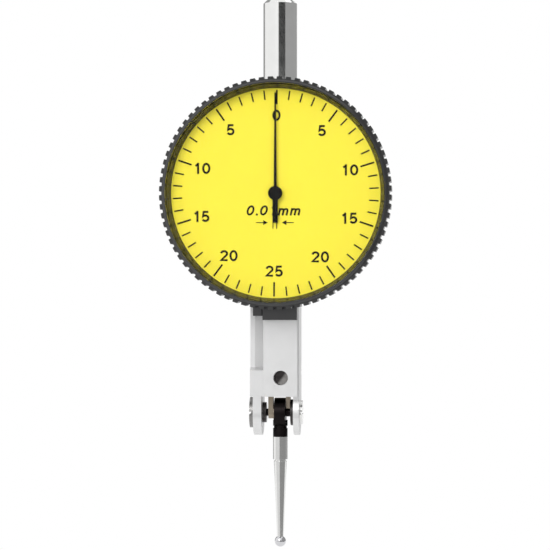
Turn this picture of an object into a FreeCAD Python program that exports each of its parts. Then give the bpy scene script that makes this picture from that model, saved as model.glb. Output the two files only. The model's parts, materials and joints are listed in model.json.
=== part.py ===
import FreeCAD, Part
import math
import os
import types

import Sketcher

# Lever-type dial test indicator, hung from its round stem.
# Z points up along the stem, X to the right of someone who reads the dial, and the dial looks
# towards -Y. The origin is on the stem's axis, at the shoulder where the stem meets its clamp.

# Driving dimensions in millimetres and degrees, and tooth counts
SIZES = {
    # Where the axes lie
    "dial_drop": 17.5,
    "turn_travel": 0.5,
    # Stem and clamp
    "stem_radius": 3.0,
    "stem_length": 17.3,
    "stem_chamfer": 0.8,
    "clamp_half_length": 3.5,
    "clamp_reach": 5.0,
    "clamp_screw_radius": 0.8,
    "clamp_head_radius": 2.0,
    "clamp_head_length": 1.8,
    "clamp_gap": 0.1,
    "clamp_jaw_top": -0.4,
    "clamp_thread_end": -3.8,
    "slot_depth": 0.7,
    "clamp_head_chamfer": 0.3,
    # Dovetails
    "rail_width": 5.9,
    "rail_height": 1.5,
    "rail_edge": 0.2,
    "rail_angle": 60,
    "side_land": 0.83,
    "side_rail_top": -18.4,
    "side_rail_end": -30.3,
    "runout": 1.0,
    # Body
    "body_offset": 0.38,
    "core_width": 6.25,
    "core_front": 3.2,
    "core_back": 4.0,
    "block_front": 5.2,
    "block_back": 5.9,
    "block_bottom": -19.4,
    "block_top": 12.5,
    "back_step": -7.5,
    "back_slope": 3.0,
    "side_wall": 0.57,
    "side_plate_thickness": 0.9,
    "fork_root": 2.4,
    "channel_half": 2.2,
    "throat_right": 2.05,
    "wheel_room": 5.05,
    "window_half_height": 2.4,
    "window_left": 1.3,
    "window_right": 1.9,
    # Fork
    "crotch_rise": 3.0,
    "ear_radius": 4.0,
    "fork_gap": 5.57,
    "fork_offset": -0.305,
    "left_ear_thickness": 1.5,
    "bush_radius": 1.5,
    "bush_spigot": 0.55,
    "left_flange_radius": 1.8,
    "left_flange_thickness": 0.65,
    "right_flange_radius": 2.3,
    "right_flange_thickness": 0.6,
    "left_head_radius": 2.7,
    "left_head_thickness": 0.75,
    "right_head_radius": 2.1,
    "right_head_thickness": 0.5,
    "pivot_spigot": 0.4,
    "head_slot": 0.5,
    # Limit screw in the front dovetail
    "limit_rise": 6.3,
    "limit_bore_radius": 1.28,
    "limit_bore_depth": 1.3,
    "limit_head_radius": 1.2,
    "limit_head_thickness": 0.6,
    "limit_shank_radius": 0.7,
    "limit_slot_depth": 0.35,
    # Small screws
    "screw_radius": 0.5,
    "screw_head_radius": 0.8,
    "screw_head_depth": 0.5,
    "screw_length": 1.9,
    "case_screw_radius": 0.6,
    "case_head_radius": 1.2,
    "case_head_thickness": 0.7,
    "case_screw_length": 2.2,
    "case_screw_inset": 3.0,
    "case_screw_wall_gap": 1.17,
    "thread_gap": 0.02,
    "hole_relief": 0.2,
    # Lever
    "arbor_radius": 0.65,
    "arbor_collar_radius": 0.75,
    "shaft_gap": 0.03,
    "end_gap": 0.05,
    "left_cheek_outer": -2.07,
    "left_cheek_inner": -1.2,
    "right_cheek_inner": 1.06,
    "right_cheek_outer": 1.8,
    "cheek_half": 1.1,
    "yoke_bottom": 3.4,
    "yoke_top": 4.6,
    "arm_left": -0.65,
    "arm_right": 0.15,
    "arm_half_low": 1.2,
    "arm_half_high": 0.9,
    "sector_depth": 3.6,
    "sector_heel": 0.6,
    "swing": 0.7,
    "stop_height": 25.0,
    "stop_radius": 0.4,
    "stop_gap": 0.04,
    "stop_past_arm": 0.4,
    # Gear train
    "sector_module": 0.2,
    "sector_teeth": 372,
    "sector_tooth_count": 7,
    "pinion_teeth": 12,
    "pinion_left": -0.95,
    "pinion_right": 0.32,
    "crown_module": 0.12,
    "crown_teeth": 74,
    "centre_teeth": 8,
    "crown_face": 0.68,
    "crown_plate": 0.45,
    "crown_hub_radius": 1.1,
    "crown_hub_length": 0.95,
    "crown_window_radius": 0.85,
    "crown_window_offset": 2.5,
    "crown_window_count": 4,
    "crown_rim_step": 0.02,
    "pinion_overhang": 0.05,
    "backlash": 0.03,
    "train_shaft_radius": 0.4,
    "train_bush_radius": 1.0,
    "train_end_gap": 0.1,
    "left_bearing_inset": 0.3,
    "right_bearing_inset": 0.4,
    # Stylus holder and stylus
    "holder_half": 0.97,
    "holder_radius": 2.6,
    "holder_gap": 0.02,
    "collar_radius": 1.3,
    "collar_top": 1.35,
    "collar_bottom": 4.3,
    "collar_groove_top": 2.35,
    "collar_groove": 0.15,
    "collar_groove_width": 0.45,
    "stylus_thread_radius": 0.85,
    "stylus_thread_length": 2.0,
    "stylus_shoulder": 8.3,
    "stylus_neck": 0.3,
    "stylus_neck_depth": 0.2,
    "stylus_top_radius": 1.15,
    "stylus_tip_radius": 0.6,
    "ball_radius": 1.0,
    "washer_gap": 0.02,
    # Dial head, with depths measured from the stem's axis towards the reader
    "dial_front": 11.7,
    "dial_thickness": 0.4,
    "dial_hole": 1.0,
    "ledge_thickness": 1.5,
    "ledge_width": 0.78,
    "ledge_seat": 0.12,
    "crystal_thickness": 0.9,
    "crystal_recess": 0.4,
    "bezel_radius": 20.0,
    "bezel_wall": 1.17,
    "bezel_shoulder": 0.65,
    "bezel_bevel": 0.3,
    "bezel_gap": 0.06,
    "lip_width": 0.3,
    "knurl_setback": 1.4,
    "knurl_width": 5.8,
    "knurl_depth": 0.4,
    "knurl_teeth": 80,
    "knurl_groove_share": 0.5,
    "knurl_slope": 0.12,
    "clip_thickness": 0.35,
    "clip_width": 1.04,
    "ring_setback": 1.35,
    "ring_width": 0.5,
    "ring_depth": 0.4,
    "ring_stand": 0.15,
    "ring_split": 4.0,
    # Case
    "case_floor": 1.0,
    "case_wall": 1.0,
    "case_chamfer": 0.9,
    "rim_gap": 0.1,
    "neck_length": 1.9,
    "neck_width": 6.0,
    "neck_gap": 0.3,
    "neck_root": 0.84,
    "cheek_piece_left": 4.37,
    "cheek_piece_bottom": -21.2,
    # Pointer and its shaft
    "centre_bush_radius": 1.1,
    "centre_bush_flange": 2.5,
    "centre_bush_flange_thickness": 0.7,
    "centre_bush_gap": 0.35,
    "centre_bush_reach": 0.2,
    "pointer_lift": 0.45,
    "pointer_thickness": 0.2,
    "pointer_boss_radius": 1.2,
    "pointer_boss_lift": 0.25,
    "pointer_boss_gap": 0.45,
    "pointer_boss_cap": 0.2,
    "pointer_end_gap": 0.75,
    "pointer_root_width": 0.5,
    "pointer_tip_width": 0.22,
    "tail_length": 5.1,
    "tail_width": 0.9,
    "collet_radius": 0.9,
    "collet_gap": 0.95,
    "collet_length": 0.6,
    "spiral_pitch": 0.55,
    "spiral_turns": 4,
    "spiral_thickness": 0.1,
    "spiral_height": 0.3,
    "stud_radius": 0.4,
}

# (Y, Z) places of the side plate's screws, from the dial centre
PLATE_SCREW_PLACES = ((3.1, -31.0), (3.1, -14.0), (4.2, 9.0), (-3.8, 11.2))
PRESSURE_ANGLE = math.radians(20)
# Tooth depth below the pitch circle, in modules
DEDENDUM = 1.25
# How far a piece of a shape runs into its neighbour, and how far a cut runs past a surface
INTO = 0.2
PAST = 1.0


class Size:
    """A number together with the sheet formula that gives it."""

    def __init__(self, value, formula):
        self.value = value
        self.formula = formula

    def __add__(self, other):
        other = as_size(other)
        return Size(self.value + other.value, f"({self.formula} + {other.formula})")

    def __sub__(self, other):
        other = as_size(other)
        return Size(self.value - other.value, f"({self.formula} - {other.formula})")

    def __mul__(self, other):
        other = as_size(other)
        return Size(self.value * other.value, f"({self.formula} * {other.formula})")

    def __truediv__(self, other):
        other = as_size(other)
        return Size(self.value / other.value, f"({self.formula} / {other.formula})")

    def __neg__(self):
        return Size(-self.value, f"(-{self.formula})")

    def __radd__(self, other):
        return as_size(other) + self

    def __rsub__(self, other):
        return as_size(other) - self

    def __rmul__(self, other):
        return as_size(other) * self


def as_size(number):
    """A plain number as a Size."""
    if isinstance(number, Size):
        return number
    return Size(number, repr(number))


def tangent(angle):
    return Size(math.tan(math.radians(angle.value)), f"tan({angle.formula} * 1 deg)")


doc = FreeCAD.newDocument("dial_test_indicator")
sheet = doc.addObject("Spreadsheet::Sheet", "dims")
for row, (alias, number) in enumerate(SIZES.items(), start=1):
    sheet.set(f"A{row}", alias.replace("_", " "))
    sheet.set(f"B{row}", str(number))
    sheet.setAlias(f"B{row}", alias)
doc.recompute()
d = types.SimpleNamespace(**{alias: Size(getattr(sheet, alias), f"dims.{alias}") for alias in SIZES})

# Heights and places that several pieces share
GEAR_RATIO = (d.sector_teeth / d.pinion_teeth) * (d.crown_teeth / d.centre_teeth)
PIVOT_DROP = (d.sector_teeth + d.pinion_teeth) * d.sector_module / 2
STYLUS_REACH = d.turn_travel * GEAR_RATIO / (2 * math.pi)
DIAL_PLACE = (0, 0, -d.dial_drop)
PIVOT_PLACE = (0, 0, -(d.dial_drop + PIVOT_DROP))
STEM_PLACE = (0, 0, 0)
CROTCH = d.crotch_rise - PIVOT_DROP
BODY_LEFT = d.body_offset - d.core_width / 2
BODY_RIGHT = d.body_offset + d.core_width / 2
PLATE_LEFT = BODY_RIGHT - d.side_plate_thickness
RAIL_FRONT = d.core_front + d.rail_height
RAIL_INSET = (d.rail_height - d.rail_edge) / tangent(d.rail_angle)
SIDE_RAIL_LEFT = BODY_LEFT - d.rail_height - d.side_land
GAP_LEFT = d.fork_offset - d.fork_gap / 2
GAP_RIGHT = d.fork_offset + d.fork_gap / 2
EAR_LEFT = GAP_LEFT - d.left_ear_thickness
CAVITY_LEFT = BODY_LEFT + d.side_wall
CASE_FRONT_OF_FLOOR = d.block_front + d.case_floor
BEZEL_BORE = d.bezel_radius - d.bezel_wall
LEDGE_RADIUS = BEZEL_BORE - d.ledge_width
WIDE_BORE = BEZEL_BORE + d.lip_width
DISC_RADIUS = BEZEL_BORE - d.bezel_gap
CUP_RADIUS = DISC_RADIUS - d.case_wall
# Heights of the case's screws: below the block's top, and inside the foot of the cup's wall
CASE_SCREW_HEIGHTS = (
    d.block_top - d.case_screw_inset,
    as_size(0) - CUP_RADIUS + d.case_head_radius + d.case_screw_wall_gap,
)
DIAL_BACK = d.dial_front - d.dial_thickness
CRYSTAL_BACK = d.dial_front + d.ledge_thickness
CRYSTAL_FRONT = CRYSTAL_BACK + d.crystal_thickness
BEZEL_FRONT = CRYSTAL_FRONT + d.crystal_recess
KNURL_FRONT = BEZEL_FRONT - d.knurl_setback
BEZEL_BACK = KNURL_FRONT - d.knurl_width
CLIP_BACK = DIAL_BACK - d.clip_thickness
CASE_RIM = CLIP_BACK - d.rim_gap
RING_FRONT = CASE_RIM - d.ring_setback
RING_BACK = RING_FRONT - d.ring_width
POINTER_BACK = d.dial_front + d.pointer_lift
BOSS_FRONT = CRYSTAL_BACK - d.pointer_boss_gap
SHAFT_END = BOSS_FRONT - d.pointer_boss_cap
COLLET_FRONT = DIAL_BACK - d.collet_gap
COLLET_BACK = COLLET_FRONT - d.collet_length
CROWN_RADIUS = d.crown_module * d.crown_teeth / 2
CENTRE_PINION_RADIUS = d.crown_module * d.centre_teeth / 2
CROWN_PLATE_LEFT = CENTRE_PINION_RADIUS + DEDENDUM * d.crown_module

nodes = []


def place(thing, where):
    """Puts a document object where its three coordinates say."""
    for letter, coordinate in zip("xyz", where):
        thing.setExpression(f"Placement.Base.{letter}", as_size(coordinate).formula)
    return thing


def body_at(label, where, is_node=True):
    """An empty body whose own origin is at the given place."""
    body = doc.addObject("PartDesign::Body", label)
    body.Label = label
    place(body, where)
    if is_node:
        nodes.append(body)
    return body


def origin_plane(body, role):
    return next(plane for plane in body.Origin.OriginFeatures if plane.Role == role)


def pin_point(sketch, geometry, vertex, spot):
    """Holds one point of a sketch at its two coordinates."""
    for kind, coordinate in zip(("DistanceX", "DistanceY"), spot):
        coordinate = as_size(coordinate)
        number = sketch.addConstraint(
            Sketcher.Constraint(kind, -1, 1, geometry, vertex, coordinate.value)
        )
        sketch.setExpression(f"Constraints[{number}]", coordinate.formula)


def add_outline(sketch, corners):
    """A closed outline of straight lines through the corners."""
    spots = [FreeCAD.Vector(as_size(u).value, as_size(v).value, 0) for u, v in corners]
    first = sketch.GeometryCount
    count = len(spots)
    for number in range(count):
        sketch.addGeometry(Part.LineSegment(spots[number], spots[(number + 1) % count]), False)
    for number in range(count):
        following = first + (number + 1) % count
        sketch.addConstraint(Sketcher.Constraint("Coincident", first + number, 2, following, 1))
        pin_point(sketch, first + number, 1, corners[number])


def add_circle(sketch, centre, radius):
    radius = as_size(radius)
    middle = FreeCAD.Vector(as_size(centre[0]).value, as_size(centre[1]).value, 0)
    number = sketch.addGeometry(Part.Circle(middle, FreeCAD.Vector(0, 0, 1), radius.value), False)
    pin_point(sketch, number, 3, centre)
    constraint = sketch.addConstraint(Sketcher.Constraint("Radius", number, radius.value))
    sketch.setExpression(f"Constraints[{constraint}]", radius.formula)


def draw(body, name, role, outlines=(), circles=(), lift=0):
    """A sketch on one of the body's origin planes, lifted along the plane's normal."""
    sketch = body.newObject("Sketcher::SketchObject", f"{body.Name}_{name}_sketch")
    sketch.AttachmentSupport = (origin_plane(body, role), [""])
    sketch.MapMode = "FlatFace"
    sketch.setExpression("AttachmentOffset.Base.z", as_size(lift).formula)
    for corners in outlines:
        add_outline(sketch, corners)
    for centre, radius in circles:
        add_circle(sketch, centre, radius)
    return sketch


def pad(body, name, role, start, end, outlines=(), circles=()):
    """Adds material between two distances along the plane's normal."""
    feature = body.newObject("PartDesign::Pad", f"{body.Name}_{name}")
    feature.Profile = draw(body, name, role, outlines, circles, start)
    feature.setExpression("Length", (as_size(end) - start).formula)
    return feature


def pocket(body, name, role, start, end, outlines=(), circles=()):
    """Cuts material away between two distances along the plane's normal."""
    feature = body.newObject("PartDesign::Pocket", f"{body.Name}_{name}")
    feature.Profile = draw(body, name, role, outlines, circles, start)
    feature.Reversed = True
    feature.setExpression("Length", (as_size(end) - start).formula)
    return feature


# The plane that holds a turned section, the sketch axis it turns about, and the order of
# the section's two coordinates, for each axis of the part
TURNING = {
    "X": ("XY_Plane", "H_Axis", lambda along, radius: (along, radius)),
    "Y": ("XY_Plane", "V_Axis", lambda along, radius: (radius, -as_size(along))),
    "Z": ("XZ_Plane", "V_Axis", lambda along, radius: (radius, along)),
}


def turn(body, name, axis, section, kind="PartDesign::Revolution"):
    """Turns a section of (distance along the axis, radius) points right round the axis.

    Along Y the distance is counted towards the reader.
    """
    role, line, order = TURNING[axis]
    feature = body.newObject(kind, f"{body.Name}_{name}")
    sketch = draw(body, name, role, [[order(along, radius) for along, radius in section]])
    feature.Profile = sketch
    feature.ReferenceAxis = (sketch, [line])
    feature.Angle = 360
    return feature


def turned(label, where, axis, section, is_node=True):
    """A piece that is one turned section."""
    body = body_at(label, where, is_node)
    turn(body, "section", axis, section)
    return body


def tube_section(start, end, inner, outer):
    return [(start, inner), (end, inner), (end, outer), (start, outer)]


def rod_section(start, end, radius):
    return tube_section(start, end, 0, radius)


def rectangle(left, bottom, right, top):
    return [(left, bottom), (right, bottom), (right, top), (left, top)]


def slot_across(head_radius, middle=(0, 0), width=None):
    """The outline of a screwdriver slot across a head, whose ends run past the head's edge."""
    half_length = head_radius + INTO / 2
    half_width = (width or d.head_slot) / 2
    across, up = as_size(middle[0]), as_size(middle[1])
    return rectangle(across - half_length, up - half_width, across + half_length, up + half_width)


def repeat_round(body, name, feature, axis_line, count):
    """Repeats one feature evenly round an axis of its own sketch."""
    pattern = body.newObject("PartDesign::PolarPattern", f"{body.Name}_{name}")
    pattern.Originals = [feature]
    pattern.Axis = (feature.Profile[0], [axis_line])
    pattern.Angle = 360
    pattern.setExpression("Occurrences", count.formula)
    body.Tip = pattern
    return pattern


def computed(label, shape, where):
    """A piece whose shape is worked out here, put at its place."""
    piece = doc.addObject("Part::Feature", label)
    piece.Label = label
    piece.Shape = shape
    place(piece, where)
    nodes.append(piece)
    return piece


def joined(label, pieces, is_node=True):
    """One solid made of several overlapping pieces."""
    fusion = doc.addObject("Part::MultiFuse", label)
    fusion.Label = label
    fusion.Shapes = pieces
    fusion.Refine = True
    if is_node:
        nodes.append(fusion)
    return fusion


# Stem and its dovetail clamp

def make_stem():
    """The round shank with the clamp block and the fixed jaw that hooks under the dovetail."""
    rail_top = d.block_top + d.rail_height - d.dial_drop
    land = d.block_top + d.rail_height - d.rail_edge - d.dial_drop
    root = d.block_top + d.clamp_gap / 2 - d.dial_drop
    half = d.rail_width / 2
    body = body_at("stem", STEM_PLACE)
    block = rectangle(-d.clamp_reach, rail_top, half - d.clamp_gap / 2, 0)
    pad(body, "block", "XZ_Plane", -d.clamp_half_length, d.clamp_half_length, [block])
    jaw = [
        (-d.clamp_reach, rail_top + INTO),
        (-d.clamp_reach, root),
        (-(half - RAIL_INSET) - d.clamp_gap / 2, root),
        (-half, land),
        (-half, rail_top + INTO),
    ]
    pad(body, "fixed_jaw", "XZ_Plane", -d.clamp_half_length, d.clamp_half_length, [jaw])
    shank = [
        (-INTO, 0),
        (d.stem_length, 0),
        (d.stem_length, d.stem_radius - d.stem_chamfer),
        (d.stem_length - d.stem_chamfer, d.stem_radius),
        (-INTO, d.stem_radius),
    ]
    turn(body, "shank", "Z", shank)
    height = clamp_screw_height()
    pocket(
        body, "screw_hole", "YZ_Plane", d.clamp_thread_end - INTO, d.clamp_reach,
        circles=[((0, height), d.clamp_screw_radius + d.thread_gap)],
    )
    return body


def clamp_screw_height():
    return (d.block_top + d.rail_height - d.dial_drop) / 2


def make_clamp_jaw():
    """The loose jaw on the other side of the dovetail."""
    half = d.rail_width / 2
    rail_top = d.block_top + d.rail_height - d.dial_drop
    land = d.block_top + d.rail_height - d.rail_edge - d.dial_drop
    root = d.block_top + d.clamp_gap / 2 - d.dial_drop
    body = body_at("clamp_jaw", STEM_PLACE)
    outline = [
        (half - RAIL_INSET + d.clamp_gap / 2, root),
        (d.clamp_reach, root),
        (d.clamp_reach, d.clamp_jaw_top),
        (half + d.clamp_gap / 2, d.clamp_jaw_top),
        (half + d.clamp_gap / 2, rail_top),
        (half, land),
    ]
    pad(body, "jaw", "XZ_Plane", -d.clamp_half_length, d.clamp_half_length, [outline])
    pocket(
        body, "screw_hole", "YZ_Plane", 0, d.clamp_reach + PAST,
        circles=[((0, clamp_screw_height()), d.clamp_screw_radius + 2 * d.thread_gap)],
    )
    return body


def make_clamp_screw():
    """The slotted screw that draws the loose jaw in."""
    place_of_axis = (0, 0, clamp_screw_height())
    body = body_at("clamp_screw", place_of_axis)
    head_end = d.clamp_reach + d.clamp_head_length
    section = [
        (d.clamp_thread_end, 0),
        (head_end, 0),
        (head_end, d.clamp_head_radius - d.clamp_head_chamfer),
        (head_end - d.clamp_head_chamfer, d.clamp_head_radius),
        (d.clamp_reach, d.clamp_head_radius),
        (d.clamp_reach, d.clamp_screw_radius),
        (d.clamp_thread_end, d.clamp_screw_radius),
    ]
    turn(body, "section", "X", section)
    slot = slot_across(d.clamp_head_radius)
    pocket(body, "slot", "YZ_Plane", head_end - d.slot_depth, head_end + PAST, [slot])
    return body


# Body

def side_profile(bottom):
    """The core's outline seen from the side, from the given height to the top."""
    slope_foot = d.back_step - d.back_slope
    return [
        (-d.core_front, bottom),
        (-d.core_front, d.block_bottom),
        (-d.block_front, d.block_bottom),
        (-d.block_front, d.block_top),
        (d.block_back, d.block_top),
        (d.block_back, d.back_step),
        (d.core_back, slope_foot),
        (d.core_back, bottom),
    ]


def add_rails(body):
    """The front dovetail, the left dovetail's block and the top dovetail."""
    half = d.rail_width / 2
    root = half - RAIL_INSET
    land = RAIL_FRONT - d.rail_edge
    left = d.body_offset - half
    right = d.body_offset + half
    root_right = PLATE_LEFT - INTO
    front = [
        (left + RAIL_INSET, -d.core_front + INTO),
        (left + RAIL_INSET, -d.core_front),
        (left, -land),
        (left, -RAIL_FRONT),
        (right, -RAIL_FRONT),
        (right, -land),
        (right - RAIL_INSET, -d.core_front),
        (root_right, -d.core_front),
        (root_right, -d.core_front + INTO),
    ]
    pad(body, "front_rail", "XY_Plane", CROTCH, d.block_bottom, [front])
    block = rectangle(SIDE_RAIL_LEFT, -d.ear_radius, BODY_LEFT + INTO, d.ear_radius)
    pad(body, "side_block", "XY_Plane", CROTCH, d.side_rail_top, [block])
    top = d.block_top + d.rail_height
    edge = top - d.rail_edge
    upper = [
        (-root, d.block_top - INTO),
        (root, d.block_top - INTO),
        (root, d.block_top),
        (half, edge),
        (half, top),
        (-half, top),
        (-half, edge),
        (-root, d.block_top),
    ]
    pad(body, "top_rail", "XZ_Plane", -d.block_back, d.block_front, [upper])


def mill_side_rail(body):
    """Mills both flanks of the left dovetail down to a sloping run-out."""
    half = d.rail_width / 2
    inset = d.rail_height / tangent(d.rail_angle)
    land = SIDE_RAIL_LEFT + d.side_land
    outside = d.ear_radius + PAST
    for name, side in (("front", -1), ("back", 1)):
        flank = [
            (SIDE_RAIL_LEFT - PAST, side * half),
            (land, side * half),
            (BODY_LEFT, side * (half - inset)),
            (BODY_LEFT, side * outside),
            (SIDE_RAIL_LEFT - PAST, side * outside),
        ]
        pocket(body, f"{name}_flank", "XY_Plane", d.side_rail_end, d.side_rail_top + PAST, [flank])
        slope = [
            (side * half, d.side_rail_end + INTO),
            (side * half, d.side_rail_end),
            (side * outside, d.side_rail_end - d.runout),
            (side * outside, d.side_rail_end + INTO),
        ]
        pocket(body, f"{name}_runout", "YZ_Plane", SIDE_RAIL_LEFT - PAST, BODY_LEFT, [slope])


def add_fork(body):
    """The two ears that carry the lever, and the root that holds the right one."""
    root = rectangle(-d.core_front, CROTCH, d.core_back, CROTCH + d.fork_root)
    pad(body, "fork_root", "YZ_Plane", PLATE_LEFT - INTO, BODY_RIGHT, [root])
    ear = rectangle(-d.ear_radius, -PIVOT_DROP, d.ear_radius, CROTCH + INTO)
    inner = rectangle(-d.core_front, -PIVOT_DROP, d.core_back, CROTCH + INTO)
    pivot = ((0, -PIVOT_DROP), d.ear_radius)
    pad(body, "left_ear", "YZ_Plane", EAR_LEFT, GAP_LEFT, [ear])
    pad(body, "left_ear_end", "YZ_Plane", EAR_LEFT, GAP_LEFT, circles=[pivot])
    pad(body, "right_ear", "YZ_Plane", GAP_RIGHT, BODY_RIGHT, [inner])
    pad(body, "right_ear_end", "YZ_Plane", GAP_RIGHT, BODY_RIGHT, circles=[pivot])
    bore = ((0, -PIVOT_DROP), d.bush_radius)
    pocket(body, "ear_bores", "YZ_Plane", EAR_LEFT - PAST, BODY_RIGHT + PAST, circles=[bore])


def hollow_body(body):
    """The channel for the lever, the room for the wheel and the window behind the dial."""
    channel = rectangle(-d.channel_half, CROTCH + d.fork_root, d.channel_half, 0)
    pocket(body, "channel", "YZ_Plane", CAVITY_LEFT, BODY_RIGHT + PAST, [channel])
    throat = rectangle(-d.channel_half, CROTCH - PAST, d.channel_half, CROTCH + d.fork_root + INTO)
    pocket(body, "throat", "YZ_Plane", CAVITY_LEFT, d.throat_right, [throat])
    pocket(
        body, "wheel_room", "YZ_Plane", CAVITY_LEFT, BODY_RIGHT + PAST,
        circles=[((0, 0), d.wheel_room)],
    )
    window = rectangle(-d.window_left, -d.window_half_height, d.window_right, d.window_half_height)
    pocket(body, "window", "XZ_Plane", d.core_front, d.block_front + PAST, [window])


def drill_body(body):
    """Holes for screws, stop pins and the wheel's bush."""
    hole = d.case_screw_radius + d.thread_gap
    spots = [((d.body_offset, height), hole) for height in CASE_SCREW_HEIGHTS]
    bottom = d.block_front - d.case_screw_length - d.hole_relief
    pocket(body, "case_screw_holes", "XZ_Plane", bottom, d.block_front + PAST, circles=spots)
    hole = d.screw_radius + d.thread_gap
    spots = [(spot, hole) for spot in PLATE_SCREW_PLACES]
    bottom = PLATE_LEFT - d.screw_length - d.hole_relief
    pocket(body, "plate_screw_holes", "YZ_Plane", bottom, PLATE_LEFT + PAST, circles=spots)
    limit = ((d.body_offset, d.limit_rise - PIVOT_DROP), d.limit_shank_radius + d.thread_gap)
    pocket(body, "limit_thread", "XZ_Plane", 0, RAIL_FRONT + PAST, circles=[limit])
    limit = ((d.body_offset, d.limit_rise - PIVOT_DROP), d.limit_bore_radius)
    seat = RAIL_FRONT - d.limit_bore_depth
    pocket(body, "limit_bore", "XZ_Plane", seat, RAIL_FRONT + PAST, circles=[limit])
    spots = [((side * stop_offset(), d.stop_height - PIVOT_DROP), d.stop_radius) for side in (-1, 1)]
    spots.append(((0, 0), d.train_bush_radius))
    pocket(body, "wall_holes", "YZ_Plane", BODY_LEFT - PAST, CAVITY_LEFT + INTO, circles=spots)


def make_body_frame():
    """The steel body: core, three dovetails, fork and the milled room for the mechanism."""
    body = body_at("body_frame", DIAL_PLACE)
    pad(body, "core", "YZ_Plane", BODY_LEFT, PLATE_LEFT, [side_profile(CROTCH)])
    add_rails(body)
    add_fork(body)
    mill_side_rail(body)
    hollow_body(body)
    drill_body(body)
    return body


def make_side_plate():
    """The cover of the mechanism, on the body's right side."""
    body = body_at("side_plate", DIAL_PLACE)
    bottom = CROTCH + d.fork_root
    pad(body, "plate", "YZ_Plane", PLATE_LEFT, BODY_RIGHT, [side_profile(bottom)])
    spots = [(spot, d.screw_radius + d.thread_gap) for spot in PLATE_SCREW_PLACES]
    spots.append(((0, 0), d.train_bush_radius))
    pocket(body, "holes", "YZ_Plane", PLATE_LEFT - PAST, BODY_RIGHT + PAST, circles=spots)
    spots = [(spot, d.screw_head_radius + d.thread_gap) for spot in PLATE_SCREW_PLACES]
    seat = BODY_RIGHT - d.screw_head_depth
    pocket(body, "sinks", "YZ_Plane", seat, BODY_RIGHT + PAST, circles=spots)
    return body


def make_side_plate_screws():
    """The small screws of the side plate, flush with it."""
    body = body_at("side_plate_screws", DIAL_PLACE)
    shank_start = PLATE_LEFT - d.screw_length
    head_start = BODY_RIGHT - d.screw_head_depth
    shanks = [(spot, d.screw_radius) for spot in PLATE_SCREW_PLACES]
    heads = [(spot, d.screw_head_radius) for spot in PLATE_SCREW_PLACES]
    pad(body, "shanks", "YZ_Plane", shank_start, head_start + INTO, circles=shanks)
    pad(body, "heads", "YZ_Plane", head_start, BODY_RIGHT, circles=heads)
    slots = [slot_across(d.screw_head_radius, spot, d.screw_radius / 2) for spot in PLATE_SCREW_PLACES]
    pocket(body, "slots", "YZ_Plane", BODY_RIGHT - d.screw_head_depth / 2, BODY_RIGHT + PAST, slots)
    return body


def make_limit_screw():
    """The recessed screw in the front dovetail, whose end stays clear of the lever."""
    where = (d.body_offset, 0, d.limit_rise - PIVOT_DROP - d.dial_drop)
    seat = RAIL_FRONT - d.limit_bore_depth
    section = [
        (d.channel_half, 0),
        (seat + d.limit_head_thickness, 0),
        (seat + d.limit_head_thickness, d.limit_head_radius),
        (seat, d.limit_head_radius),
        (seat, d.limit_shank_radius),
        (d.channel_half, d.limit_shank_radius),
    ]
    body = body_at("limit_screw", where)
    turn(body, "section", "Y", section)
    slot = slot_across(d.limit_head_radius)
    face = seat + d.limit_head_thickness
    pocket(body, "slot", "XZ_Plane", face - d.limit_slot_depth, face + PAST, [slot])
    return body


# Fork bearings and lever

def make_pivot_screw(label, ear_face, side, head_radius, head_thickness):
    """A bearing screw whose head lies on the outside of an ear."""
    head_end = ear_face + side * head_thickness
    section = [
        (ear_face - side * d.pivot_spigot, 0),
        (head_end, 0),
        (head_end, head_radius),
        (ear_face, head_radius),
        (ear_face, d.bush_radius - d.thread_gap),
        (ear_face - side * d.pivot_spigot, d.bush_radius - d.thread_gap),
    ]
    body = body_at(label, PIVOT_PLACE)
    turn(body, "section", "X", section)
    slot = slot_across(head_radius)
    depth = head_thickness / 2
    if side > 0:
        pocket(body, "slot", "YZ_Plane", head_end - depth, head_end + PAST, [slot])
    else:
        pocket(body, "slot", "YZ_Plane", head_end - PAST, head_end + depth, [slot])
    return body


def make_pivot_bush(label, gap_face, side, flange_radius, flange_thickness):
    """A collared bush with its collar on the inside of an ear."""
    bore = d.arbor_radius + d.shaft_gap
    section = [
        (gap_face - side * flange_thickness, bore),
        (gap_face + side * d.bush_spigot, bore),
        (gap_face + side * d.bush_spigot, d.bush_radius - d.thread_gap),
        (gap_face, d.bush_radius - d.thread_gap),
        (gap_face, flange_radius),
        (gap_face - side * flange_thickness, flange_radius),
    ]
    return turned(label, PIVOT_PLACE, "X", section)


def make_lever_arbor():
    """The pivot shaft that the lever is fixed to."""
    left = GAP_LEFT - d.bush_spigot + d.end_gap
    right = GAP_RIGHT + d.bush_spigot - d.end_gap
    collar_end = GAP_RIGHT - d.right_flange_thickness - d.end_gap
    section = [
        (left, 0),
        (right, 0),
        (right, d.arbor_radius),
        (collar_end, d.arbor_radius),
        (collar_end, d.arbor_collar_radius),
        (d.right_cheek_inner, d.arbor_collar_radius),
        (d.right_cheek_inner, d.arbor_radius),
        (left, d.arbor_radius),
    ]
    return turned("lever_arbor", PIVOT_PLACE, "X", section)


def stop_offset():
    """How far the stop pins stand from the lever's mid plane."""
    share = (d.stop_height - d.yoke_top) / (PIVOT_DROP - d.sector_depth - d.yoke_top)
    half = d.arm_half_low - (d.arm_half_low - d.arm_half_high) * share
    return half + d.stop_height * tangent(d.swing) + d.stop_gap + d.stop_radius


def polar(radius, angle):
    return (radius * math.cos(angle), radius * math.sin(angle))


def involute(angle):
    return math.tan(angle) - angle


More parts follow.
